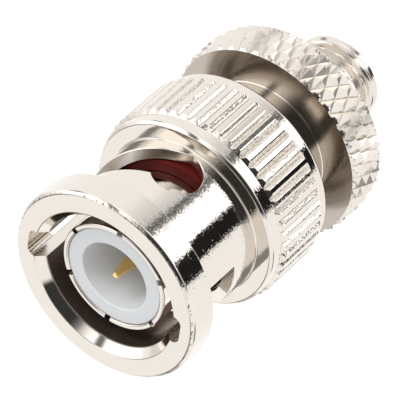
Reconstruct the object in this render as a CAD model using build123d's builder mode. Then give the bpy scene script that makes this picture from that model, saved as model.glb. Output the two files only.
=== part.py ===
from build123d import *
import os
from math import atan, cos, degrees, pi, radians, sin, tan

# A coaxial adapter: bayonet plug at the top, small threaded jack at the bottom.
# It stands on the jack's end face. Z runs up its axis, sizes are in millimetres, angles in degrees.

# Outside, from the jack's end face up to the face of the coupling ring
barrel_length = 5.75
disc_thickness = 3.15
exposed_hub_length = 2.65
back_lip_length = 0.95
knurl_length = 4.4
front_lip_length = 1.0
neck_length = 6.37
flange_thickness = 2.23

# Coupling ring
flange_radius = 7.1
flange_chamfer = 0.21
lip_chamfer = 0.2
lip_rounding = 0.4
knurl_height = 0.25
knurl_groove_count = 52
knurl_groove_turn = 2.5
knurl_groove_depth = 0.24
knurl_groove_angle = 92
neck_wall = 0.8
neck_fillet = 0.12
mouth_bevel_width = 0.57
mouth_depth = 0.6
cavity_wall = 0.9
rolled_edge_length = 0.85
rolled_edge_width = 0.5

# Bayonet slots of the coupling ring
slot_count = 2
slot_reach = 0.27
entry_angle = 26.5
entry_width = 2.2
entry_corner = 0.55
entry_depth = 6.2
cam_width = 2.5
cam_flat_turn = 16.5
cam_turn = 77
cam_drop = 2.03
detent_radius = 1.7
detent_rise = 0.52

# Washers behind the flange of the front body
spring_washer_height = 1.0
spring_strip_thickness = 0.2
spring_washer_width = 0.9
thrust_washer_thickness = 0.5
retaining_washer_thickness = 1.0
washer_play = 0.2
cavity_play = 0.35
running_clearance = 0.08
fit_clearance = 0.02

# Front body and gasket
body_flange_thickness = 1.2
hub_wall = 0.7
sleeve_step_width = 0.36
spigot_radius = 3.88
spigot_length = 2.0
sleeve_socket_depth = 3.0
gasket_thickness = 1.8
gasket_width = 0.85
gasket_play = 0.15
gasket_rounding = 0.25

# Contact sleeve with its spring fingers
sleeve_radius = 3.98
sleeve_wall = 0.32
sleeve_recess = 1.035
finger_bead = 0.07
finger_bead_length = 1.2
finger_taper_length = 1.4
finger_chamfer = 0.1
finger_count = 6
finger_slot_width = 0.42
finger_slot_length = 5.0
finger_slot_angle = 56

# Insulators
cup_recess = 1.12
cup_bore_radius = 2.53
cup_depth = 6.3
cup_chamfer = 0.08
jack_insulator_radius = 2.05

# Centre contact
pin_radius = 0.675
pin_tip_radius = 0.22
pin_tip_rounding = 0.11
pin_recess = 1.24
pin_taper_length = 2.8
collar_radius = 1.1
collar_length = 0.8
socket_contact_radius = 0.635
socket_bore_radius = 0.47
socket_bore_depth = 3.0
socket_slot_count = 2
socket_slot_width = 0.15
socket_slot_length = 2.2

# Jack body: knurled disc and threaded barrel
disc_radius = 7.38
disc_chamfer = 0.28
diamond_count = 44
diamond_row = 1.0
diamond_first_row = 0.15
diamond_depth = 0.33
diamond_angle = 100
barrel_radius = 3.175
barrel_chamfer = 0.3
relief_radius = 2.8
relief_length = 0.6
jack_mouth_radius = 2.3
jack_mouth_depth = 1.9
jack_mouth_chamfer = 0.15

# How far a cutting tool runs past the surface that it cuts
overrun = 0.5

# Radii, worked out from the contact sleeve outwards
sleeve_seat_radius = sleeve_radius + fit_clearance
gasket_radius = sleeve_seat_radius + gasket_width
ring_bore_radius = gasket_radius + gasket_play
neck_radius = ring_bore_radius + neck_wall
slot_radius = neck_radius + slot_reach
hub_radius = sleeve_seat_radius + hub_wall
spring_bore_radius = hub_radius + washer_play
spring_radius = spring_bore_radius + spring_washer_width
cavity_radius = spring_radius + cavity_play
body_flange_radius = cavity_radius - washer_play
lip_radius = cavity_radius + cavity_wall
knurl_radius = lip_radius + knurl_height
rolled_edge_radius = cavity_radius - rolled_edge_width
washer_bore_radius = hub_radius + running_clearance
body_bore_radius = sleeve_radius - sleeve_wall - sleeve_step_width

# Heights of the outside
disc_back = barrel_length
disc_front = disc_back + disc_thickness
ring_back = disc_front + exposed_hub_length
knurl_back = ring_back + back_lip_length
knurl_front = knurl_back + knurl_length
ring_shoulder = knurl_front + front_lip_length
flange_back = ring_shoulder + neck_length
ring_face = flange_back + flange_thickness

# Heights of the washers, the front body and what it holds
retaining_back = ring_back + rolled_edge_length
thrust_back = retaining_back + retaining_washer_thickness
spring_back = thrust_back + thrust_washer_thickness
spring_middle = spring_back + spring_washer_height
body_flange_back = spring_middle + spring_washer_height
body_flange_front = body_flange_back + body_flange_thickness
sleeve_back = body_flange_front - sleeve_socket_depth
sleeve_front = ring_face - sleeve_recess
cup_front = ring_face - cup_recess
spigot_back = disc_front - spigot_length

os.makedirs("parts", exist_ok=True)

# Cutter of one bayonet slot. Its cam ends at angle 0 and its entry notch lies at entry_turn.
entry_turn = cam_turn + cam_flat_turn
cam_start = ring_face - entry_depth + cam_width / 2
cam_end = cam_start - cam_drop
cam_radius = (ring_bore_radius + neck_radius) / 2
cam_cut_depth = neck_radius - ring_bore_radius + 2 * overrun
entry_x = Vector(1, 0, 0).rotate(Axis.Z, entry_turn)
flat_x = Vector(1, 0, 0).rotate(Axis.Z, cam_turn)
flat_way = Vector(0, 1, 0).rotate(Axis.Z, cam_turn)

with BuildLine() as cam_path:
    Helix(pitch=cam_drop * 360 / cam_turn, height=cam_drop, radius=cam_radius, center=(0, 0, cam_end))
ramp_foot = cam_path.line @ 0
ramp_way = cam_path.line % 0

with BuildPart() as slot_cutter:
    with BuildSketch(Plane(origin=ramp_foot, x_dir=(1, 0, 0), z_dir=ramp_way)):
        Rectangle(cam_cut_depth, cam_width)
    sweep(path=cam_path.line, is_frenet=True)
    # flat run between the ramp and the entry notch
    with BuildSketch(Plane(origin=(0, 0, cam_start), x_dir=flat_x, z_dir=flat_way)):
        with Locations((cam_radius, 0)):
            Rectangle(cam_cut_depth, cam_width)
    revolve(axis=Axis.Z, revolution_arc=cam_flat_turn)
    # round cuts where the cutter turned into the ramp and where it left it
    for turn, height in ((cam_turn, cam_start), (0, cam_end)):
        outward = Vector(1, 0, 0).rotate(Axis.Z, turn)
        cut_foot = outward * (ring_bore_radius - overrun) + Vector(0, 0, height)
        with BuildSketch(Plane(origin=cut_foot, z_dir=outward)):
            Circle(cam_width / 2)
        extrude(amount=cam_cut_depth)
    with BuildSketch(Plane(origin=(ring_bore_radius - overrun, 0, cam_end + detent_rise), z_dir=(1, 0, 0))):
        Circle(detent_radius)
    extrude(amount=cam_cut_depth)
    # entry notch, milled in from the face and round at its outer corners
    with BuildSketch(Plane(origin=(0, 0, ring_face + overrun), x_dir=entry_x, z_dir=(0, 0, 1))) as entry_notch:
        with Locations((slot_radius, 0)):
            Rectangle(slot_radius - ring_bore_radius + overrun, entry_width, align=(Align.MAX, Align.CENTER))
        fillet(entry_notch.vertices().sort_by(Axis.X)[-2:], entry_corner)
    extrude(amount=-(entry_depth + overrun))

# Coupling ring, turned inside and out
with BuildPart() as coupling_ring:
    with BuildSketch(Plane.XZ):
        with BuildLine():
            Polyline(
                (rolled_edge_radius, ring_back),
                (lip_radius, ring_back),
                (lip_radius, knurl_back),
                (knurl_radius, knurl_back + knurl_height),
                (knurl_radius, knurl_front - knurl_height),
                (lip_radius, knurl_front),
                (lip_radius, ring_shoulder - lip_chamfer),
                (lip_radius - lip_chamfer, ring_shoulder),
                (neck_radius, ring_shoulder),
                (neck_radius, flange_back),
                (flange_radius, flange_back),
                (flange_radius, ring_face - flange_chamfer),
                (flange_radius - flange_chamfer, ring_face),
                (ring_bore_radius + mouth_bevel_width, ring_face),
                (ring_bore_radius, ring_face - mouth_depth),
                (ring_bore_radius, body_flange_front),
                (cavity_radius, body_flange_front),
                (cavity_radius, retaining_back),
                (rolled_edge_radius, retaining_back),
                close=True,
            )
        make_face()
    revolve(axis=Axis.Z)
    back_edges = coupling_ring.edges().filter_by(GeomType.CIRCLE).group_by(Axis.Z)[0]
    fillet(back_edges.sort_by(SortBy.RADIUS)[-1], lip_rounding)
    shoulder_edges = coupling_ring.edges().filter_by(GeomType.CIRCLE).filter_by(
        lambda edge: abs(edge.radius - neck_radius) < fit_clearance
    )
    fillet(shoulder_edges, neck_fillet)
    # straight knurl: V grooves that run out on the bevels at both ends of the band
    groove_bottom = knurl_radius - knurl_groove_depth
    groove_reach = knurl_groove_depth + overrun
    groove_spread = groove_reach * tan(radians(knurl_groove_angle / 2))
    with BuildSketch(Plane.XY.offset(knurl_back)):
        with PolarLocations(groove_bottom, knurl_groove_count, start_angle=knurl_groove_turn):
            Polygon((0, 0), (groove_reach, groove_spread), (groove_reach, -groove_spread), align=None)
    extrude(amount=knurl_length, mode=Mode.SUBTRACT)
    with PolarLocations(0, slot_count, start_angle=entry_angle - entry_turn):
        add(slot_cutter.part, mode=Mode.SUBTRACT)
coupling_ring.part.label = "coupling_ring"
export_step(coupling_ring.part, "parts/coupling_ring.step")

# Washer pressed into the back of the ring, under its rolled edge
with BuildPart() as retaining_washer:
    with BuildSketch(Plane.XY.offset(retaining_back)):
        Circle(cavity_radius - fit_clearance)
        Circle(washer_bore_radius, mode=Mode.SUBTRACT)
    extrude(amount=retaining_washer_thickness)
retaining_washer.part.label = "retaining_washer"
export_step(retaining_washer.part, "parts/retaining_washer.step")

# Flat washer that the retaining washer turns against
with BuildPart() as thrust_washer:
    with BuildSketch(Plane.XY.offset(thrust_back)):
        Circle(body_flange_radius)
        Circle(washer_bore_radius, mode=Mode.SUBTRACT)
    extrude(amount=thrust_washer_thickness)
thrust_washer.part.label = "thrust_washer"
export_step(thrust_washer.part, "parts/thrust_washer.step")

# Two curved spring washers, set back to back
spring_names = ("spring_washer_back", "spring_washer_front")
for name, foot, crown in zip(spring_names, (spring_back, body_flange_back), (spring_middle, spring_middle)):
    strip = spring_strip_thickness if crown > foot else -spring_strip_thickness
    with BuildPart() as spring_washer:
        with BuildSketch(Plane.XY.offset(min(foot, crown))):
            Circle(spring_radius)
            Circle(spring_bore_radius, mode=Mode.SUBTRACT)
        extrude(amount=spring_washer_height)
        with BuildSketch(Plane.XZ):
            with BuildLine():
                lower = ThreePointArc((-spring_radius, foot), (0, crown - strip), (spring_radius, foot))
                upper = ThreePointArc((-spring_radius, foot + strip), (0, crown), (spring_radius, foot + strip))
                Line(lower @ 0, upper @ 0)
                Line(lower @ 1, upper @ 1)
            make_face()
        extrude(amount=spring_radius, both=True, mode=Mode.INTERSECT)
    spring_washer.part.label = name
    export_step(spring_washer.part, f"parts/{name}.step")

# Front body: flange, hub and the spigot that is pressed into the jack body
with BuildPart() as front_body:
    with BuildSketch(Plane.XZ):
        with BuildLine():
            Polyline(
                (body_bore_radius, spigot_back),
                (spigot_radius, spigot_back),
                (spigot_radius, disc_front),
                (hub_radius, disc_front),
                (hub_radius, body_flange_back),
                (body_flange_radius, body_flange_back),
                (body_flange_radius, body_flange_front),
                (sleeve_seat_radius, body_flange_front),
                (sleeve_seat_radius, sleeve_back),
                (body_bore_radius, sleeve_back),
                close=True,
            )
        make_face()
    revolve(axis=Axis.Z)
front_body.part.label = "front_body"
export_step(front_body.part, "parts/front_body.step")

# Gasket round the foot of the contact sleeve
with BuildPart() as gasket:
    with BuildSketch(Plane.XY.offset(body_flange_front)):
        Circle(gasket_radius)
        Circle(sleeve_seat_radius, mode=Mode.SUBTRACT)
    extrude(amount=gasket_thickness)
    gasket_rim = gasket.faces().sort_by(Axis.Z)[-1].edges().sort_by(SortBy.RADIUS)[-1]
    fillet(gasket_rim, gasket_rounding)
gasket.part.label = "gasket"
export_step(gasket.part, "parts/gasket.step")

# Contact sleeve: a thin tube with a low bead at its mouth, slit into spring fingers
bead_back = sleeve_front - finger_bead_length
taper_back = bead_back - finger_taper_length

with BuildPart() as contact_sleeve:
    with BuildSketch(Plane.XZ):
        with BuildLine():
            Polyline(
                (sleeve_radius - sleeve_wall, sleeve_back),
                (sleeve_radius, sleeve_back),
                (sleeve_radius, taper_back),
                (sleeve_radius + finger_bead, bead_back),
                (sleeve_radius + finger_bead, sleeve_front),
                (sleeve_radius - sleeve_wall, sleeve_front),
                close=True,
            )
        make_face()
    revolve(axis=Axis.Z)
    chamfer(contact_sleeve.faces().sort_by(Axis.Z)[-1].edges(), finger_chamfer)
    with BuildSketch(Plane.XY.offset(sleeve_front + overrun)):
        with PolarLocations(sleeve_radius - sleeve_wall / 2, finger_count, start_angle=finger_slot_angle):
            Rectangle(sleeve_wall + 2 * overrun, finger_slot_width)
    extrude(amount=-(finger_slot_length + overrun), mode=Mode.SUBTRACT)
contact_sleeve.part.label = "contact_sleeve"
export_step(contact_sleeve.part, "parts/contact_sleeve.step")

# Front insulator: a deep cup round the pin
with BuildPart() as front_insulator:
    with BuildSketch(Plane.XY.offset(sleeve_back)):
        Circle(sleeve_radius - sleeve_wall - fit_clearance)
        Circle(pin_radius + fit_clearance, mode=Mode.SUBTRACT)
    extrude(amount=cup_front - sleeve_back)
    with BuildSketch(Plane.XY.offset(cup_front)):
        Circle(cup_bore_radius)
    extrude(amount=-cup_depth, mode=Mode.SUBTRACT)
    chamfer(front_insulator.faces().sort_by(Axis.Z)[-1].edges(), cup_chamfer)
front_insulator.part.label = "front_insulator"
export_step(front_insulator.part, "parts/front_insulator.step")

# Rear insulator: a stepped bead that traps the collar of the centre contact
with BuildPart() as rear_insulator:
    with BuildSketch(Plane.XZ):
        with BuildLine():
            Polyline(
                (socket_contact_radius + fit_clearance, jack_mouth_depth),
                (jack_insulator_radius, jack_mouth_depth),
                (jack_insulator_radius, spigot_back),
                (body_bore_radius - fit_clearance, spigot_back),
                (body_bore_radius - fit_clearance, sleeve_back),
                (collar_radius + fit_clearance, sleeve_back),
                (collar_radius + fit_clearance, sleeve_back - collar_length),
                (socket_contact_radius + fit_clearance, sleeve_back - collar_length),
                close=True,
            )
        make_face()
    revolve(axis=Axis.Z)
rear_insulator.part.label = "rear_insulator"
export_step(rear_insulator.part, "parts/rear_insulator.step")

# Centre contact: pointed pin, collar and slotted socket, turned from one bar
pin_tip = ring_face - pin_recess

with BuildPart() as centre_contact:
    with BuildSketch(Plane.XZ):
        with BuildLine():
            Polyline(
                (0, jack_mouth_depth),
                (socket_contact_radius, jack_mouth_depth),
                (socket_contact_radius, sleeve_back - collar_length),
                (collar_radius, sleeve_back - collar_length),
                (collar_radius, sleeve_back),
                (pin_radius, sleeve_back),
                (pin_radius, pin_tip - pin_taper_length),
                (pin_tip_radius, pin_tip),
                (0, pin_tip),
                close=True,
            )
        make_face()
    revolve(axis=Axis.Z)
    fillet(centre_contact.faces().sort_by(Axis.Z)[-1].edges(), pin_tip_rounding)
    with BuildSketch(Plane.XY.offset(jack_mouth_depth)):
        Circle(socket_bore_radius)
    extrude(amount=socket_bore_depth, mode=Mode.SUBTRACT)
    with BuildSketch(Plane.XY.offset(jack_mouth_depth)):
        with PolarLocations(0, socket_slot_count, angular_range=180):
            Rectangle(2 * (socket_contact_radius + overrun), socket_slot_width)
    extrude(amount=socket_slot_length, mode=Mode.SUBTRACT)
centre_contact.part.label = "centre_contact"
export_step(centre_contact.part, "parts/centre_contact.step")

# One groove of the diamond knurl: a straight V that lies aslant across the disc's rim
disc_middle = (disc_back + disc_front) / 2
diamond_pitch = 2 * pi * disc_radius / diamond_count
diamond_lean = degrees(atan(diamond_pitch / 2 / diamond_row))
diamond_length = (disc_thickness + 2 * overrun) / cos(radians(diamond_lean))
diamond_way = Vector(0, sin(radians(diamond_lean)), cos(radians(diamond_lean)))
diamond_foot = Vector(disc_radius - diamond_depth, 0, disc_middle) - diamond_way * (diamond_length / 2)
diamond_reach = diamond_depth + overrun
diamond_spread = diamond_reach * tan(radians(diamond_angle / 2))

with BuildPart() as diamond_groove:
    with BuildSketch(Plane(origin=diamond_foot, x_dir=(1, 0, 0), z_dir=diamond_way)):
        Polygon((0, 0), (diamond_reach, diamond_spread), (diamond_reach, -diamond_spread), align=None)
    extrude(amount=diamond_length)

# Jack body: diamond-knurled disc and barrel in one turned piece
half_step = 180 / diamond_count
row_turn = (disc_thickness / 2 - diamond_first_row) / diamond_row * half_step

with BuildPart() as jack_body:
    with BuildSketch(Plane.XZ):
        with BuildLine():
            Polyline(
                (jack_mouth_radius + jack_mouth_chamfer, 0),
                (barrel_radius - barrel_chamfer, 0),
                (barrel_radius, barrel_chamfer),
                (barrel_radius, disc_back - relief_length),
                (relief_radius, disc_back - relief_length),
                (relief_radius, disc_back),
                (disc_radius - disc_chamfer, disc_back),
                (disc_radius, disc_back + disc_chamfer),
                (disc_radius, disc_front - disc_chamfer),
                (disc_radius - disc_chamfer, disc_front),
                (spigot_radius + fit_clearance, disc_front),
                (spigot_radius + fit_clearance, spigot_back),
                (jack_insulator_radius + fit_clearance, spigot_back),
                (jack_insulator_radius + fit_clearance, jack_mouth_depth),
                (jack_mouth_radius, jack_mouth_depth),
                (jack_mouth_radius, jack_mouth_chamfer),
                close=True,
            )
        make_face()
    revolve(axis=Axis.Z)
    with PolarLocations(0, diamond_count, start_angle=half_step - row_turn):
        add(diamond_groove.part, mode=Mode.SUBTRACT)
    with PolarLocations(0, diamond_count, start_angle=half_step + row_turn):
        add(diamond_groove.part.mirror(Plane.XZ), mode=Mode.SUBTRACT)
jack_body.part.label = "jack_body"
export_step(jack_body.part, "parts/jack_body.step")
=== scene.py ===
from math import atan2, cos, hypot, pi, radians, sin, tan

import bmesh
import bpy
from mathutils import Matrix, Vector


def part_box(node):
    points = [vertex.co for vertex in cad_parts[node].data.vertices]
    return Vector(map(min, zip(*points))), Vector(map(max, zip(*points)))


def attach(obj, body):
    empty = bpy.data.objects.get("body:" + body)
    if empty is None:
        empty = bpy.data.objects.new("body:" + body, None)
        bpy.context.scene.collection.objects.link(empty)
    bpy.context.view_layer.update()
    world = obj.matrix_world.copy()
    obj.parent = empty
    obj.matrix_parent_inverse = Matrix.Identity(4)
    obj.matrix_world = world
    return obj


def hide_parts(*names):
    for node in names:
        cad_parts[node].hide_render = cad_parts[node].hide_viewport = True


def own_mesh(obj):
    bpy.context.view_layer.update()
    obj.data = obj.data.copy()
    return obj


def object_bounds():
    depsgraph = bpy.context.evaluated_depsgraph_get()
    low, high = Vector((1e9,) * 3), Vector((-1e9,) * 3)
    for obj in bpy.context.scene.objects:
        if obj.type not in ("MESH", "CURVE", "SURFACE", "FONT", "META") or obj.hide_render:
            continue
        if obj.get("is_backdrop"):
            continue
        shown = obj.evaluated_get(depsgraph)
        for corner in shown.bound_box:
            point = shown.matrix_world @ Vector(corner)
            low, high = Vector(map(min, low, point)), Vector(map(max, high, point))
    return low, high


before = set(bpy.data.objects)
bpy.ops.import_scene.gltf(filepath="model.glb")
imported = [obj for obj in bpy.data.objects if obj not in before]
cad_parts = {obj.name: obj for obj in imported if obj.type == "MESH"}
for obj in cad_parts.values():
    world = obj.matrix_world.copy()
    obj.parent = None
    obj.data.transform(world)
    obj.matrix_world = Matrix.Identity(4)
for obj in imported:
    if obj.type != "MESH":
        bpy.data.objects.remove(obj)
cad_low, cad_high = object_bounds()
bpy.context.scene.view_settings.view_transform = "Standard"

# Camera: a long lens that looks down on the adapter, rolled over as in the photograph. It stands
# where the middle of the coupling ring's face falls on its pixel of the 400 pixel wide picture.
mm = 0.001
photo_pixels = 400
face_pixel = (103.357, 286.295)
focal_pixels = 4500
face_distance = 286.37
look_down = radians(37.717)
camera_roll = radians(-131.821)
ring_face = cad_high.z / mm

camera_data = bpy.data.cameras.new("camera")
camera_data.sensor_width = 36
camera_data.lens = camera_data.sensor_width * focal_pixels / photo_pixels
camera_data.clip_start = 0.01
camera_data.clip_end = 20
camera = bpy.data.objects.new("camera", camera_data)
bpy.context.scene.collection.objects.link(camera)
bpy.context.scene.camera = camera
turned_view = Matrix.Rotation(pi / 2 - look_down, 3, "X") @ Matrix.Rotation(camera_roll, 3, "Z")
face_right = (face_pixel[0] - photo_pixels / 2) / focal_pixels * face_distance
face_up = (photo_pixels / 2 - face_pixel[1]) / focal_pixels * face_distance
face_offset = turned_view @ Vector((face_right, face_up, -face_distance))
camera_place = (Vector((0, 0, ring_face)) - face_offset) * mm
camera.matrix_world = Matrix.Translation(camera_place) @ turned_view.to_4x4()


class Socket:
    """A shader socket that adds and multiplies as a number does."""

    def __init__(self, tree, socket=None):
        self.tree = tree
        self.socket = socket

    def node(self, kind, settings, values, output=0):
        """Adds any other node: its settings first, then the values or links of its sockets."""
        made = self.tree.nodes.new(kind)
        for name, value in settings.items():
            setattr(made, name, value)
        for name, value in values.items():
            if isinstance(value, Socket):
                self.tree.links.new(value.socket, made.inputs[name])
            else:
                made.inputs[name].default_value = value
        return Socket(self.tree, made.outputs[output] if made.outputs else None)

    def other(self, name):
        """Another output of the same node."""
        return Socket(self.tree, self.socket.node.outputs[name])

    def maths(self, operation, *others):
        """A Math node on this value and the others."""
        return self.node("ShaderNodeMath", {"operation": operation}, dict(enumerate((self, *others))))

    def __add__(self, other):
        return self.maths("ADD", other)

    def __mul__(self, other):
        return self.maths("MULTIPLY", other)

    def __sub__(self, other):
        return self.maths("SUBTRACT", other)

    def __rsub__(self, other):
        return self.node("ShaderNodeMath", {"operation": "SUBTRACT"}, {0: other, 1: self})

    __radd__ = __add__
    __rmul__ = __mul__

    def step(self, low, high):
        """0 below low, 1 above high, and smooth between."""
        settings = {"interpolation_type": "SMOOTHSTEP"}
        return self.node("ShaderNodeMapRange", settings, {"Value": self, "From Min": low, "From Max": high})

    def band(self, low, high, soft):
        """1 between low and high, 0 outside, with soft edges."""
        return self.step(low - soft, low + soft) * (1 - self.step(high - soft, high + soft))

    def mix(self, first, second):
        """A colour that goes from first to second with this value."""
        return self.node("ShaderNodeMix", {"data_type": "RGBA"}, {0: self, 6: first, 7: second}, 2)


# Studio: a pale table in a white surround. By direction alone, what shines sees soft boxes, dark
# strips between them and the dark space round the lens, and what is matt gets an even white light.
surround = bpy.data.worlds.new("surround")
bpy.context.scene.world = surround
surround.use_nodes = True
surround.cycles.sampling_method = "NONE"
surround.node_tree.nodes.clear()
studio = Socket(surround.node_tree)
east = studio.node("ShaderNodeSeparateXYZ", {}, {0: studio.node("ShaderNodeTexCoord", {}, {})})
turn = (0 - east).maths("ARCTAN2", 0 - east.other("Y")) * (180 / pi)
rise = east.other("Z").maths("ARCSINE") * (180 / pi)


def strips(places):
    """Upright strips of the studio: each one's turn from and to, its soft edge and its strength."""
    return sum(turn.band(start, end, soft) * strength for start, end, soft, strength in places)


# turn is 0 towards the camera, and rise is 0 at the horizon, both in degrees. The low part is what
# upright walls mirror from the photograph's height
low_dark = strips(((31, 60, 1, 0.985), (-17, -5, 3, 0.85))) * rise.step(-66, -56)
low_glow = strips(((-2, 31, 1, 0.9),))
rear_shade = (1 - turn.band(-168, 168, 6)) * (1 - rise.step(-38, -34)) * 0.7
side_shade = turn.step(-52, -20) * (1 - turn.step(-19, -16)) * 0.3
foot_shade = (1 - rise.step(-88, -76)) * 0.6
low_light = (1 - low_dark + low_glow) * (1 - rear_shade) * (1 - side_shade) * (1 - foot_shade)

# the level part is what they mirror when they are seen from the side
level_dark = strips((
    (36, 58, 3, 0.8),
    (-24, -12, 3, 0.5),
    (94, 116, 4, 1),
    (-98, -86, 4, 1),
    (-150, -128, 4, 0.3),
    (142, 160, 4, 0.6),
))
level_light = 1.05 - level_dark * 0.9

# the high part is what rims and slopes that look up mirror
lens_dark = turn.step(-58, -4) * (1 - turn.step(58, 68)) * rise.step(20, 32) * (1 - rise.step(58, 72))
side_dark = strips(((-66, -54, 4, 0.8),))
side_glow = strips(((-54, -24, 5, 0.5), (-116, -66, 5, 0.5)))
rear_dark = strips(((128, 170, 5, 0.7), (-158, -128, 6, 0.7))) * (1 - rise.step(48, 56))
high_light = (1 - lens_dark * 0.96) * (1 - side_dark) * (1 - rise.step(62, 72) * 0.8)
high_light = high_light * (1 + side_glow) * (1 - rear_dark)

level = rise.step(-26, -14)
upper = rise.step(8, 20)
reflected = low_light * (1 - level) + level_light * level * (1 - upper) + high_light * upper
matt_strength = 0.64
shine_strength = 1.16
ray = studio.node("ShaderNodeLightPath", {}, {})
seen = ray.other("Is Camera Ray").maths("MAXIMUM", ray.other("Is Transmission Ray"))
even_light, shine, white = (
    studio.node("ShaderNodeBackground", {}, {"Color": (1, 1, 1, 1), "Strength": strength})
    for strength in (matt_strength, reflected * shine_strength, 1)
)
unseen = studio.node("ShaderNodeMixShader", {}, {0: ray.other("Is Glossy Ray"), 1: even_light, 2: shine})
whole = studio.node("ShaderNodeMixShader", {}, {0: seen, 1: unseen, 2: white})
studio.node("ShaderNodeOutputWorld", {}, {0: whole})

floor_size = 2
floor_colour = (0.9, 0.9, 0.9, 1)
floor_glow = 0.6
sheet = bmesh.new()
bmesh.ops.create_grid(sheet, x_segments=1, y_segments=1, size=floor_size / 2)
floor_mesh = bpy.data.meshes.new("floor")
sheet.to_mesh(floor_mesh)
sheet.free()
floor = bpy.data.objects.new("floor", floor_mesh)
bpy.context.scene.collection.objects.link(floor)
floor.visible_glossy = False
floor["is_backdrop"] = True
table = bpy.data.materials.new("pale_table")
table.use_nodes = True
table.node_tree.nodes.clear()
board = Socket(table.node_tree)
ray = board.node("ShaderNodeLightPath", {}, {})
matt = board.node("ShaderNodeBsdfDiffuse", {}, {"Color": floor_colour})
glow = board.node("ShaderNodeEmission", {}, {"Strength": ray.other("Is Camera Ray") * floor_glow})
board.node("ShaderNodeOutputMaterial", {}, {0: board.node("ShaderNodeAddShader", {}, {0: matt, 1: glow})})
floor_mesh.materials.append(table)

lamp_places = (
    ("key", (0.36, -0.3, 0.24), 0.25, 1.3),
    ("fill", (-0.35, -0.25, 0.2), 0.3, 0.2),
)
for name, place, width, power in lamp_places:
    lamp_data = bpy.data.lights.new(name, "AREA")
    lamp_data.size = width
    lamp_data.energy = power
    lamp = bpy.data.objects.new(name, lamp_data)
    lamp.visible_glossy = False
    lamp.location = place
    lamp.rotation_euler = Vector(place).to_track_quat("Z", "Y").to_euler()
    bpy.context.scene.collection.objects.link(lamp)


# Coupling ring: turned from brass and nickel plated. It has a flange round the mouth, two bayonet
# slots milled through the neck, and a straight knurl of V grooves between two plain lips.
ring_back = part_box("coupling_ring")[0].z / mm
flange_radius = 7.1
flange_chamfer = 0.21
flange_thickness = 2.23
neck_radius = 5.8
neck_length = 6.37
neck_rounding = 0.12
lip_radius = 7.05
lip_chamfer = 0.2
lip_rounding = 0.5
front_lip_length = 1.0
back_lip_length = 0.95
knurl_radius = 7.3
bore_radius = 5.0
mouth_radius = 5.57
mouth_depth = 0.6
cavity_radius = 6.15
cavity_front = 17.1
rolled_edge_radius = 5.65
rolled_edge_length = 0.85
rolled_edge_rounding = 0.35
flange_rounding = 0.07
flange_back_rounding = 0.12
edge_rounding = 0.05

flange_back = ring_face - flange_thickness
ring_shoulder = flange_back - neck_length
knurl_front = ring_shoulder - front_lip_length
knurl_back = ring_back + back_lip_length
knurl_height = knurl_radius - lip_radius
rounding_steps = 4
merge_distance = 0.0005
tolerance = 0.001


def turned(outline, steps):
    """Spins a closed outline round the axis. Its corners are radius, height and rounding, in mm."""
    shape = bmesh.new()
    corners = [shape.verts.new((radius, 0, height)) for radius, height, rounding in outline]
    for near, far in zip(corners, corners[1:] + corners[:1]):
        shape.edges.new((near, far))
    for corner, (radius, height, rounding) in zip(corners, outline):
        if rounding:
            bmesh.ops.bevel(shape, geom=[corner], offset=rounding, offset_type="OFFSET", affect="VERTICES",
                            segments=rounding_steps, profile=0.5, material=-1)
    bmesh.ops.spin(shape, geom=shape.verts[:] + shape.edges[:], cent=(0, 0, 0), axis=(0, 0, 1),
                   angle=2 * pi, steps=steps, use_merge=True)
    bmesh.ops.remove_doubles(shape, verts=shape.verts[:], dist=merge_distance)
    bmesh.ops.recalc_face_normals(shape, faces=shape.faces[:])
    return shape


def as_object(shape, name):
    """Puts a shape that is still in millimetres into an object of its own."""
    mesh = bpy.data.meshes.new(name)
    shape.to_mesh(mesh)
    shape.free()
    made = bpy.data.objects.new(name, mesh)
    bpy.context.scene.collection.objects.link(made)
    return made


def joined(first, second, operation):
    """Cuts the second solid from the first, or unites the two."""
    work, tool = as_object(first, "work"), as_object(second, "tool")
    saw = work.modifiers.new("saw", "BOOLEAN")
    saw.operation = operation
    saw.solver = "EXACT"
    saw.object = tool
    result = bmesh.new()
    result.from_object(work, bpy.context.evaluated_depsgraph_get())
    bpy.data.objects.remove(work)
    bpy.data.objects.remove(tool)
    return result


def finished(shape, name, body, slot, material, *nodes, sharp=30):
    """Smooths a shape but for its flats and sharp edges, brings it to metres and puts it in place."""
    piece = as_object(shape, name)
    piece.data.shade_smooth()
    piece.data.set_sharp_from_angle(angle=radians(sharp))
    flats = piece.modifiers.new("flats", "WEIGHTED_NORMAL")
    flats.weight = 100
    flats.keep_sharp = True
    piece.data = bpy.data.meshes.new_from_object(piece.evaluated_get(bpy.context.evaluated_depsgraph_get()))
    piece.modifiers.clear()
    piece.data.transform(Matrix.Scale(mm, 4))
    piece.data.materials.append(material)
    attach(piece, body)
    if nodes:
        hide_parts(*nodes)
    return piece


tool_line_depth = 0.0015
roughness_spread = 0.04
dulling = 0.97
torn_depth = 0.06
torn_roughness = 0.08
# painted shade inside the bore: a dark colour, more roughness and less metal
bore_shade_colour = (0.22, 0.17, 0.14, 1)
bore_shade_roughness = 0.2
bore_shade_shine_loss = 0.15
# colour of the dark flecks along the rim edge
fleck_colour = (0.2, 0.14, 0.09, 1)


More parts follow.
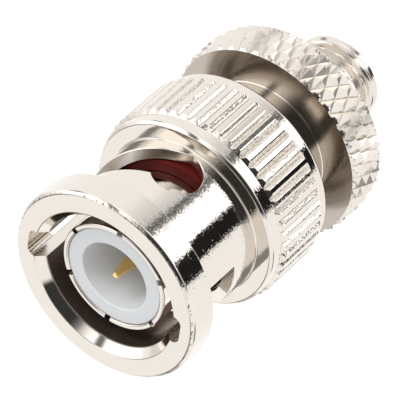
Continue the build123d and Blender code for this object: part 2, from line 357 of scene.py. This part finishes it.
def plated(name, colour, roughness, grain=0.1, ragged=None, painted_shade=None, dark_flecks=None):
    """Plated metal with tool lines, and specks on the ring's and disc's outsides but for the shoulder.

    Ragged gives where the knurl's flanks are torn. The next two zones give, by radius and height, where the
    plate is darkened and dulled as painted shade and where it gets dark flecks."""
    material = bpy.data.materials.new(name)
    material.use_nodes = True
    shader = material.node_tree.nodes["Principled BSDF"]
    shader.inputs["Metallic"].default_value = 1
    metal = Socket(material.node_tree)
    place = metal.node("ShaderNodeTexCoord", {}, {}, "Object")
    place = metal.node("ShaderNodeVectorMath", {"operation": "SCALE"}, {0: place, "Scale": 1 / mm})
    across = metal.node("ShaderNodeSeparateXYZ", {}, {0: place})
    radius = (across * across + across.other("Y") * across.other("Y")).maths("SQRT")
    height = across.other("Z")
    section = metal.node("ShaderNodeCombineXYZ", {}, {0: radius, 1: height})
    tool_lines = metal.node("ShaderNodeTexNoise", {"noise_dimensions": "2D"},
                            {"Vector": section, "Scale": 9, "Detail": 2})
    clouds = metal.node("ShaderNodeTexNoise", {}, {"Vector": place, "Scale": 0.5, "Detail": 2})
    relief = tool_lines * tool_line_depth
    roughened = clouds * roughness_spread + (roughness - roughness_spread / 2)
    if ragged:
        zone = ragged(radius, height)
        torn = metal.node("ShaderNodeTexNoise", {}, {"Vector": place, "Scale": 5, "Detail": 3})
        relief = relief + zone * torn * torn_depth
        roughened = roughened + zone * torn_roughness
    bump = metal.node("ShaderNodeBump", {}, {"Height": relief, "Distance": mm})
    specks = metal.node("ShaderNodeTexVoronoi", {}, {"Vector": place, "Scale": 20}, "Color")
    tilt = metal.node("ShaderNodeVectorMath", {"operation": "SUBTRACT"}, {0: specks, 1: (0.5, 0.5, 0.5)})
    speckled = radius.step(neck_radius - 0.3, neck_radius - 0.1)
    speckled = speckled * (1 - height.band(ring_shoulder - 0.3, ring_shoulder + 0.05, 0.03))
    reach = metal.node("ShaderNodeVectorMath", {"operation": "DOT_PRODUCT"}, {0: tilt, 1: tilt}, "Value")
    reach = speckled * reach * grain
    tilt = metal.node("ShaderNodeVectorMath", {"operation": "SCALE"}, {0: tilt, "Scale": reach})
    normal = metal.node("ShaderNodeVectorMath", {}, {0: bump, 1: tilt})
    normal = metal.node("ShaderNodeVectorMath", {"operation": "NORMALIZE"}, {0: normal})
    dull = tuple(dulling * part for part in colour)
    shade = clouds.mix((*dull, 1), (*colour, 1))
    # painted shade: this zone gets a dark colour, more roughness and less metal
    if painted_shade:
        bore_shade = painted_shade(radius, height)
        shade = bore_shade.mix(shade, bore_shade_colour)
        roughened = roughened + bore_shade * bore_shade_roughness
        material.node_tree.links.new((1 - bore_shade * bore_shade_shine_loss).socket, shader.inputs["Metallic"])
    # dark flecks in the zone, where a noise passes a threshold
    if dark_flecks:
        fleck_noise = metal.node("ShaderNodeTexNoise", {}, {"Vector": place, "Scale": 5, "Detail": 3})
        shade = (dark_flecks(radius, height) * fleck_noise.step(0.55, 0.6)).mix(shade, fleck_colour)
    links = material.node_tree.links
    links.new(shade.socket, shader.inputs["Base Color"])
    links.new(roughened.socket, shader.inputs["Roughness"])
    links.new(normal.socket, shader.inputs["Normal"])
    return material


ring_outline = (
    (rolled_edge_radius, ring_back, rolled_edge_rounding),
    (lip_radius, ring_back, lip_rounding),
    (lip_radius, knurl_back, 0),
    (knurl_radius, knurl_back + knurl_height, 0),
    (knurl_radius, knurl_front - knurl_height, 0),
    (lip_radius, knurl_front, 0),
    (lip_radius, ring_shoulder - lip_chamfer, edge_rounding),
    (lip_radius - lip_chamfer, ring_shoulder, edge_rounding),
    (neck_radius, ring_shoulder, neck_rounding),
    (neck_radius, flange_back, neck_rounding),
    (flange_radius, flange_back, flange_back_rounding),
    (flange_radius, ring_face - flange_chamfer, flange_rounding),
    (flange_radius - flange_chamfer, ring_face, flange_rounding),
    (mouth_radius, ring_face, edge_rounding),
    (bore_radius, ring_face - mouth_depth, edge_rounding),
    (bore_radius, cavity_front, 0),
    (cavity_radius, cavity_front, 0),
    (cavity_radius, ring_back + rolled_edge_length, 0),
    (rolled_edge_radius, ring_back + rolled_edge_length, 0),
)

# the spin's steps are spread so that three fall on each flank of a groove and six on each land,
# and each flank is drawn in to the flat side of a V
groove_count = 52
first_groove = radians(2.5)
groove_depth = 0.24
groove_angle = radians(92)
flank_steps = 3
pitch_steps = 12
groove_bottom = knurl_radius - groove_depth
flank_turn = groove_depth * tan(groove_angle / 2) / knurl_radius
pitch_turn = 2 * pi / groove_count

bevel_cuts = 5
ring = turned(ring_outline, steps=groove_count * pitch_steps)
bevel_edges = [
    edge for edge in ring.edges
    if abs(edge.verts[0].co.z - edge.verts[1].co.z) > knurl_height / 2
    and {round(hypot(*vert.co.xy), 2) for vert in edge.verts} == {lip_radius, knurl_radius}
]
bmesh.ops.subdivide_edgering(ring, edges=bevel_edges, cuts=bevel_cuts, interp_mode="LINEAR",
                             profile_shape="LINEAR")
for vert in ring.verts:
    radius, angle = hypot(*vert.co.xy), atan2(vert.co.y, vert.co.x) - first_groove
    pitch = round(angle / pitch_turn)
    step = (angle / pitch_turn - pitch) * pitch_steps
    side = 1 if step > 0 else -1
    on_flank = min(abs(step), flank_steps) / flank_steps
    on_land = max(abs(step) - flank_steps, 0) / (pitch_steps / 2 - flank_steps)
    off = flank_turn * on_flank + (pitch_turn / 2 - flank_turn) * on_land
    if knurl_back < vert.co.z < knurl_front and radius > lip_radius:
        radius = min(radius, groove_bottom / (cos(off) - sin(off) / tan(groove_angle / 2)))
    angle = first_groove + pitch * pitch_turn + side * off
    vert.co.xy = radius * cos(angle), radius * sin(angle)

# the two slots: a notch milled in from the face, a level run, a ramp and a round detent at its end
slot_count = 2
entry_angle = radians(26.5)
entry_width = 2.2
entry_depth = 6.2
entry_radius = 6.07
entry_corner = 0.55
cam_width = 2.5
cam_flat_turn = radians(16.5)
cam_turn = radians(77)
cam_drop = 2.03
detent_radius = 1.7
detent_rise = 0.52
rim_bevel = 0.05
tool_start = 4.6
tool_end = 6.6
tool_steps = 24
overshoot = 1

cam_height = ring_face - entry_depth + cam_width / 2
cam_start = entry_angle - cam_flat_turn
cam_end = cam_start - cam_turn
cam_slope = atan2(cam_drop, cam_turn * (bore_radius + neck_radius) / 2)


def tool_section(shape, half):
    """Half the section of a slot cutter, from inside the bore out through the neck, wider at the rim."""
    depths = ((tool_start, 0), (neck_radius - rim_bevel, 0), (neck_radius, rim_bevel), (tool_end, rim_bevel))
    return [shape.verts.new((depth, 0, half + grow)) for depth, grow in depths]


def run_tool(half, start, sweep, drop):
    """Cutter of a level or sloping run, from one angle to another."""
    shape = bmesh.new()
    above, below = tool_section(shape, half), tool_section(shape, half)
    for vert in below:
        vert.co.z = -vert.co.z
    face = shape.faces.new(above + below[::-1])
    bmesh.ops.spin(shape, geom=[face], cent=(0, 0, 0), axis=(0, 0, 1), angle=sweep,
                   steps=tool_steps, dvec=(0, 0, -drop / tool_steps))
    bmesh.ops.rotate(shape, verts=shape.verts[:], matrix=Matrix.Rotation(start, 3, "Z"))
    return shape


def round_tool(radius, angle):
    """Cutter of a round end. Its rim follows the neck, and its walls stay parallel."""
    shape = bmesh.new()
    rim = tool_section(shape, radius)
    path = [shape.verts.new((tool_start, 0, 0)), *rim, shape.verts.new((tool_end, 0, 0))]
    for near, far in zip(path, path[1:]):
        shape.edges.new((near, far))
    bmesh.ops.spin(shape, geom=shape.verts[:] + shape.edges[:], cent=(0, 0, 0), axis=(1, 0, 0),
                   angle=2 * pi, steps=2 * tool_steps, use_merge=True)
    bmesh.ops.remove_doubles(shape, verts=shape.verts[:], dist=merge_distance)
    for vert in shape.verts:
        vert.co.x = (vert.co.x ** 2 - vert.co.y ** 2) ** 0.5
    bmesh.ops.rotate(shape, verts=shape.verts[:], matrix=Matrix.Rotation(angle, 3, "Z"))
    return shape


entry = bmesh.new()
entry_low = Vector((tool_start, -entry_width / 2, ring_face - entry_depth))
entry_high = Vector((entry_radius, entry_width / 2, ring_face + overshoot))
bmesh.ops.create_cube(entry, size=1, matrix=Matrix.Translation((entry_low + entry_high) / 2)
                      @ Matrix.Diagonal((*(entry_high - entry_low), 1)))
outer_edges = [
    edge for edge in entry.edges
    if min(vert.co.x for vert in edge.verts) > entry_radius - tolerance
    and abs(edge.verts[0].co.z - edge.verts[1].co.z) > entry_width
]
bmesh.ops.bevel(entry, geom=outer_edges, offset=entry_corner, offset_type="OFFSET", affect="EDGES",
                segments=2 * rounding_steps, profile=0.5, material=-1)
bmesh.ops.rotate(entry, verts=entry.verts[:], matrix=Matrix.Rotation(entry_angle, 3, "Z"))

slot = entry
for tool, height in (
    (run_tool(cam_width / 2, entry_angle, -cam_flat_turn, 0), cam_height),
    (run_tool(cam_width / 2 / cos(cam_slope), cam_start, -cam_turn, cam_drop), cam_height),
    (round_tool(cam_width / 2, cam_start), cam_height),
    (round_tool(cam_width / 2, cam_end), cam_height - cam_drop),
    (round_tool(detent_radius, cam_end), cam_height - cam_drop + detent_rise),
):
    bmesh.ops.translate(tool, verts=tool.verts[:], vec=(0, 0, height))
    bmesh.ops.recalc_face_normals(tool, faces=tool.faces[:])
    slot = joined(slot, tool, "UNION")
first_slot = slot.verts[:] + slot.edges[:] + slot.faces[:]
second_slot = bmesh.ops.duplicate(slot, geom=first_slot)["geom"]
second_verts = [item for item in second_slot if isinstance(item, bmesh.types.BMVert)]
bmesh.ops.rotate(slot, verts=second_verts, matrix=Matrix.Rotation(2 * pi / slot_count, 3, "Z"))
for face in slot.faces:
    face.material_index = 1  # the milled plate
ring = joined(ring, slot, "DIFFERENCE")

ring_colour = (0.76, 0.71, 0.65)
flank_margin = 0.35
# the painted shade of the bore fades in between these two heights and is full towards the face
bore_shade_back = cavity_front + 3.4
bore_shade_front = cavity_front + 4


def knurl_flanks(radius, height):
    """The grooves of the straight knurl, below its lands."""
    below_lands = 1 - radius.step(knurl_radius - 0.05, knurl_radius)
    return height.band(knurl_back + flank_margin, knurl_front - flank_margin, 0.08) * below_lands


def bore_wall_shade(radius, height):
    """The front of the bore, where the plate is darkened and dulled as painted shade inside the bore."""
    inside = 1 - radius.step(bore_radius, bore_radius + 0.1)
    return inside * height.step(bore_shade_back, bore_shade_front)


def rim_edge(radius, height):
    """The edge between the ring's face and its outer chamfer, where the plate gets a broken line of dark
    flecks.
    """
    edge = flange_radius - flange_chamfer
    return radius.band(edge - 0.02, edge + 0.1, 0.03) * height.step(ring_face - 0.25, ring_face - 0.15)


ring_plate = plated("ring_plate", ring_colour, roughness=0.06, grain=0.22,
                    ragged=knurl_flanks, painted_shade=bore_wall_shade, dark_flecks=rim_edge)
ring_piece = finished(ring, "turned_coupling_ring", "coupling", "ring_nickel", ring_plate, "coupling_ring")
ring_piece.data.materials.append(plated("milled_plate", ring_colour, roughness=0.2))


# Washers in the ring: a thick one pressed in under the rolled edge, a thin one that it turns
# against, and two curved spring washers of bronze strip, set back to back behind the flange.
def flat_ring(inner, outer, low, high, rounding):
    """Closed ring of a plain section, with its edges eased."""
    corners = ((inner, low), (outer, low), (outer, high), (inner, high))
    return turned([(radius, height, rounding) for radius, height in corners], steps=192)


hub_radius = 4.7
hub_fillet = 0.05
hub_clearance = 0.08
washer_bore_radius = hub_radius + hub_clearance
washer_edge = 0.04
body_flange_thickness = 1.2
body_flange_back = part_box("front_body")[1].z / mm - body_flange_thickness
running_gap = 0.01
body_colour = (0.74, 0.69, 0.63)
washer_metal = plated("washer_plate", (0.55, 0.5, 0.44), roughness=0.25)
for node, body, rim_gap in (
    ("retaining_washer", "coupling", 0.02),
    ("thrust_washer", "spring_follower", 0.2),
):
    low, high = (corner.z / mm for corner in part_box(node))
    washer = flat_ring(washer_bore_radius, cavity_radius - rim_gap, low + running_gap, high - running_gap,
                       washer_edge)
    finished(washer, f"eased_{node}", body, "body_nickel", washer_metal, node)

spring_radius = 5.8
spring_bore_radius = 4.9
spring_strip = 0.2
strip_edge = 0.02
spring_metal = plated("spring_strip", (0.66, 0.5, 0.34), roughness=0.2)
for node, bow in (("spring_washer_back", 1), ("spring_washer_front", -1)):
    low, high = (corner.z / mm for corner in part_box(node))
    foot = low if bow > 0 else high - spring_strip
    spring = flat_ring(spring_bore_radius, spring_radius, foot, foot + spring_strip, strip_edge)
    for vert in spring.verts:
        vert.co.z += bow * (high - low - spring_strip) * (1 - (vert.co.x / spring_radius) ** 2)
    piece = finished(spring, f"bowed_{node}", "adapter_body", "spring_bronze", spring_metal, node)
    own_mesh(piece)


# Front body: turned brass, nickel plated. Its flange stops the ring, its hub carries the washers
# and shows behind the ring, and its spigot is pressed into the jack's disc.
body_bore_radius = 3.3
spigot_radius = 3.88
spigot_rounding = 0.1
sleeve_seat_radius = 4.0
body_flange_radius = 5.95
disc_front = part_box("jack_body")[1].z / mm
body_low, body_high = (corner.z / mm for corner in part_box("front_body"))
sleeve_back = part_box("contact_sleeve")[0].z / mm
front_body = turned((
    (body_bore_radius, body_low, 0),
    (spigot_radius, body_low, spigot_rounding),
    (spigot_radius, disc_front, 0),
    (hub_radius + hub_fillet, disc_front, 0),
    (hub_radius, disc_front + hub_fillet, 0),
    (hub_radius, body_flange_back, 0),
    (body_flange_radius, body_flange_back, edge_rounding),
    (body_flange_radius, body_high, edge_rounding),
    (sleeve_seat_radius, body_high, 0),
    (sleeve_seat_radius, sleeve_back, 0),
    (body_bore_radius, sleeve_back, 0),
), steps=256)
body_metal = plated("body_plate", body_colour, roughness=0.1)
finished(front_body, "turned_front_body", "adapter_body", "body_nickel", body_metal, "front_body")


# Gasket: a moulded ring of red silicone round the foot of the contact sleeve. It seals against
# the shell of the mating jack.
gasket_radius = 4.85
gasket_rounding = 0.25
gasket_low, gasket_high = (corner.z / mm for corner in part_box("gasket"))
gasket = turned((
    (sleeve_seat_radius, gasket_low, 0),
    (gasket_radius, gasket_low, 0),
    (gasket_radius, gasket_high, gasket_rounding),
    (sleeve_seat_radius, gasket_high, edge_rounding),
), steps=192)


def moulded(name, dark, light, scale, roughness, spread, relief):
    """Rubber or plastic with a faint cloudy grain in its colour, gloss and surface."""
    material = bpy.data.materials.new(name)
    material.use_nodes = True
    shader = material.node_tree.nodes["Principled BSDF"]
    body = Socket(material.node_tree)
    place = body.node("ShaderNodeTexCoord", {}, {}, "Object")
    grain = body.node("ShaderNodeTexNoise", {}, {"Vector": place, "Scale": scale / mm, "Detail": 3})
    bump = body.node("ShaderNodeBump", {}, {"Height": grain, "Distance": relief * mm})
    links = material.node_tree.links
    links.new(grain.mix((*dark, 1), (*light, 1)).socket, shader.inputs["Base Color"])
    links.new((grain * spread + roughness).socket, shader.inputs["Roughness"])
    links.new(bump.socket, shader.inputs["Normal"])
    return material, shader


# red silicone, its colour set darker than the silicone's own as painted shade inside the ring
silicone, shader = moulded("silicone", (0.07, 0.007, 0.004), (0.12, 0.011, 0.007),
                           scale=4, roughness=0.3, spread=0.2, relief=0.01)
shader.inputs["Specular IOR Level"].default_value = 0.1
finished(gasket, "moulded_gasket", "adapter_body", "red_silicone", silicone, "gasket")


# Contact sleeve: a thin tube of spring bronze, nickel plated, with a low bead at its mouth. It is
# slit into six fingers by three saw cuts across, and its foot is pressed into the front body.
sleeve_radius = 3.98
sleeve_wall = 0.32
sleeve_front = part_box("contact_sleeve")[1].z / mm
finger_bead = 0.07
bead_length = 1.2
taper_length = 1.4
bead_back = sleeve_front - bead_length
taper_back = bead_back - taper_length
finger_rounding = 0.12
finger_count = 6
finger_slot_width = 0.42
finger_slot_length = 5.0
finger_slot_angle = radians(56)
sleeve = turned((
    (sleeve_radius - sleeve_wall, sleeve_back, 0),
    (sleeve_radius, sleeve_back, 0),
    (sleeve_radius, taper_back, 0),
    (sleeve_radius + finger_bead, bead_back, 0),
    (sleeve_radius + finger_bead, sleeve_front, finger_rounding),
    (sleeve_radius - sleeve_wall, sleeve_front, finger_rounding),
), steps=240)


def crossed_saws(width, length, reach, count, angle, face, way):
    """Flat saws that cross on the axis, reaching in from a face, as one solid. Way is 1 for a face
    that looks up and -1 for one that looks down."""
    saws = None
    for number in range(count):
        saw = bmesh.new()
        middle = Matrix.Translation((0, 0, face - way * (length - overshoot) / 2))
        facing = Matrix.Rotation(angle + number * pi / count, 4, "Z")
        blade = Matrix.Diagonal((reach, width, length + overshoot, 1))
        bmesh.ops.create_cube(saw, size=1, matrix=facing @ middle @ blade)
        saws = saw if saws is None else joined(saws, saw, "UNION")
    return saws


finger_saws = crossed_saws(finger_slot_width, finger_slot_length, 3 * sleeve_radius, finger_count // 2,
                           finger_slot_angle, sleeve_front, 1)
sleeve = joined(sleeve, finger_saws, "DIFFERENCE")
sleeve_metal = plated("sleeve_plate", (0.78, 0.73, 0.67), roughness=0.12)
finished(sleeve, "slit_contact_sleeve", "adapter_body", "sleeve_nickel", sleeve_metal, "contact_sleeve")


# Insulators: white fluoropolymer, turned. The front one is a deep cup round the pin, and the rear
# one is a bead that shows in the mouth of the jack.
pin_radius = 0.675
cup_bore_radius = 2.53
cup_depth = 6.3
fit_gap = 0.02
cup_rounding = 0.1
cup_floor_rounding = 0.15
insulator_rounding = 0.08
cup_outer_radius = sleeve_radius - sleeve_wall - fit_gap
cup_back, cup_front = (corner.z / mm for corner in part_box("front_insulator"))
cup = turned((
    (pin_radius + fit_gap, cup_back, 0),
    (cup_outer_radius, cup_back, 0),
    (cup_outer_radius, cup_front, insulator_rounding),
    (cup_bore_radius, cup_front, cup_rounding),
    (cup_bore_radius, cup_front - cup_depth, cup_floor_rounding),
    (pin_radius + fit_gap, cup_front - cup_depth, 0),
), steps=192)
polymer, shader = moulded("fluoropolymer", (0.79, 0.81, 0.83), (0.83, 0.85, 0.87),
                          scale=3, roughness=0.38, spread=0.1, relief=0.004)
shader.inputs["Subsurface Weight"].default_value = 0.15
shader.inputs["Subsurface Radius"].default_value = (0.6 * mm, 0.6 * mm, 0.6 * mm)
shader.inputs["Subsurface Scale"].default_value = 1
finished(cup, "turned_front_insulator", "adapter_body", "white_insulator", polymer, "front_insulator")

socket_contact_radius = 0.635
jack_insulator_radius = 2.05
collar_radius = 1.1
collar_length = 0.8
jack_mouth_depth = 1.9
bead = turned((
    (socket_contact_radius + fit_gap, jack_mouth_depth, edge_rounding),
    (jack_insulator_radius, jack_mouth_depth, insulator_rounding),
    (jack_insulator_radius, body_low, 0),
    (body_bore_radius - fit_gap, body_low, 0),
    (body_bore_radius - fit_gap, sleeve_back, 0),
    (collar_radius + fit_gap, sleeve_back, 0),
    (collar_radius + fit_gap, sleeve_back - collar_length, 0),
    (socket_contact_radius + fit_gap, sleeve_back - collar_length, 0),
), steps=128)
finished(bead, "turned_rear_insulator", "adapter_body", "white_insulator", polymer, "rear_insulator")


# Centre contact: gold plated, turned from one bar, with a blunt pin in the cup and a socket with
# four slits in the jack.
pin_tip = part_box("centre_contact")[1].z / mm
pin_taper_length = 2.8
pin_tip_radius = 0.22
pin_tip_rounding = 0.06
pin_shoulder_rounding = 0.3
socket_bore_radius = 0.47
socket_bore_depth = 3.0
socket_drill_point = 0.2
socket_slot_count = 4
socket_slot_width = 0.15
socket_slot_length = 2.2
contact = turned((
    (0, pin_tip, 0),
    (pin_tip_radius, pin_tip, pin_tip_rounding),
    (pin_radius, pin_tip - pin_taper_length, pin_shoulder_rounding),
    (pin_radius, sleeve_back, 0),
    (collar_radius, sleeve_back, edge_rounding),
    (collar_radius, sleeve_back - collar_length, edge_rounding),
    (socket_contact_radius, sleeve_back - collar_length, 0),
    (socket_contact_radius, jack_mouth_depth, edge_rounding),
    (socket_bore_radius, jack_mouth_depth, edge_rounding),
    (socket_bore_radius, jack_mouth_depth + socket_bore_depth, 0),
    (0, jack_mouth_depth + socket_bore_depth + socket_drill_point, 0),
), steps=96)
socket_saws = crossed_saws(socket_slot_width, socket_slot_length, 4 * socket_contact_radius,
                           socket_slot_count // 2, 0, jack_mouth_depth, -1)
contact = joined(contact, socket_saws, "DIFFERENCE")
gold = plated("gold_plate", (1, 0.67, 0.25), roughness=0.2)
finished(contact, "turned_centre_contact", "adapter_body", "gold_contact", gold, "centre_contact")


# Jack body: turned brass, nickel plated, with a diamond knurl rolled round its disc and a fine
# thread cut on its barrel.
disc_radius = 7.38
disc_chamfer = 0.28
diamond_count = 44
diamond_depth = 0.33
diamond_row = 1.0
diamond_first_row = 0.15
diamond_tip = 0.875
diamond_steps = 8
barrel_radius = 3.175
barrel_chamfer = 0.3
relief_radius = 2.8
relief_length = 0.6
jack_mouth_radius = 2.3
disc_back = 5.75
spigot_hole_radius = spigot_radius + fit_gap
root_overlap = 0.2

# the rim's outline has a corner at each row of facets, and follows the two chamfers
half_step = pi / diamond_count
first_row = disc_front - diamond_first_row
row_step = diamond_row / diamond_steps
rim_rows = range(-int(diamond_first_row / row_step), int((first_row - disc_back) / row_step))
rim = [(min(disc_radius, disc_radius - disc_chamfer + disc_front - height,
            disc_radius - disc_chamfer + height - disc_back), height, 0)
       for height in (first_row - row * row_step for row in rim_rows)]
disc = turned((
    (spigot_hole_radius, disc_front, 0),
    (disc_radius - disc_chamfer, disc_front, 0),
    *rim,
    (disc_radius - disc_chamfer, disc_back, 0),
    (jack_mouth_radius, disc_back, 0),
    (jack_mouth_radius, body_low, 0),
    (spigot_hole_radius, body_low, 0),
), steps=2 * diamond_count * diamond_steps)
# the disc's front face gets the satin plate, whose colour is darkened as painted shade under the coupling
# ring
for face in disc.faces:
    if min(vert.co.z for vert in face.verts) > disc_front - tolerance:
        face.material_index = 1  # the satin plate

# the diamonds: two crossing sets of V cuts, and each four-sided facet is split along its ridge
for vert in disc.verts:
    radius = hypot(*vert.co.xy)
    if radius > disc_radius - disc_chamfer + tolerance:
        run = atan2(vert.co.y, vert.co.x) / half_step
        row = (first_row - vert.co.z) / diamond_row
        flank = min(abs((run - row) % 2 - 1), abs((run + row) % 2 - 1))
        cut_radius = disc_radius - diamond_depth * (1 - min(1, flank / diamond_tip))
        vert.co.xy *= min(radius, cut_radius) / radius
for face in disc.faces[:]:
    reach = [hypot(*vert.co.xy) for vert in face.verts]
    if len(reach) == 4 and min(reach) > disc_radius - 2 * diamond_depth:
        near = 0 if reach[0] + reach[2] < reach[1] + reach[3] else 1
        bmesh.utils.face_split(face, face.verts[near], face.verts[near + 2])

# the thread: a V that climbs one pitch a turn and fades in behind the end face
thread_pitch = 0.7056
thread_depth = 0.4
thread_start = 0.55
thread_flank = 1.5
thread_crest = 0.15
thread_rows = 16
thread_steps = 128
jack_mouth_chamfer = 0.15
relief_back = disc_back - relief_length
row_count = int((relief_back - barrel_chamfer) / thread_pitch * thread_rows)
row_height = (relief_back - barrel_chamfer) / row_count
barrel = turned((
    (jack_mouth_radius, disc_back + root_overlap, 0),
    (jack_mouth_radius, jack_mouth_chamfer, 0),
    (jack_mouth_radius + jack_mouth_chamfer, 0, 0),
    (barrel_radius - barrel_chamfer, 0, edge_rounding),
    *((barrel_radius, barrel_chamfer + row * row_height, 0) for row in range(row_count + 1)),
    (relief_radius, relief_back, 0),
    (relief_radius, disc_back + root_overlap, 0),
), steps=thread_steps)
for vert in barrel.verts:
    radius = hypot(*vert.co.xy)
    if radius > barrel_radius - tolerance:
        phase = (vert.co.z / thread_pitch - atan2(vert.co.y, vert.co.x) / (2 * pi)) % 1
        groove = min(1, max(0, thread_flank * abs(2 * phase - 1) - thread_crest))
        fade = min(1, max(0, (vert.co.z - thread_start) / thread_pitch))
        vert.co.xy *= (barrel_radius - thread_depth * groove * fade) / radius

# disc and barrel are turned from one bar, so they are one piece
threaded = as_object(barrel, "barrel")
disc.from_mesh(threaded.data)
bpy.data.objects.remove(threaded)

jack_metal = plated("jack_plate", body_colour, roughness=0.17, grain=0.06)
jack_piece = finished(disc, "knurled_jack_body", "adapter_body", "body_nickel", jack_metal,
                      "jack_body", sharp=20)
# satin roughness is the turned face's own; its dark colour is painted shade from the ring that overhangs it
jack_piece.data.materials.append(plated("shaded_satin_plate", (0.5, 0.445, 0.39), roughness=0.16, grain=0.015))

low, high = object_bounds()
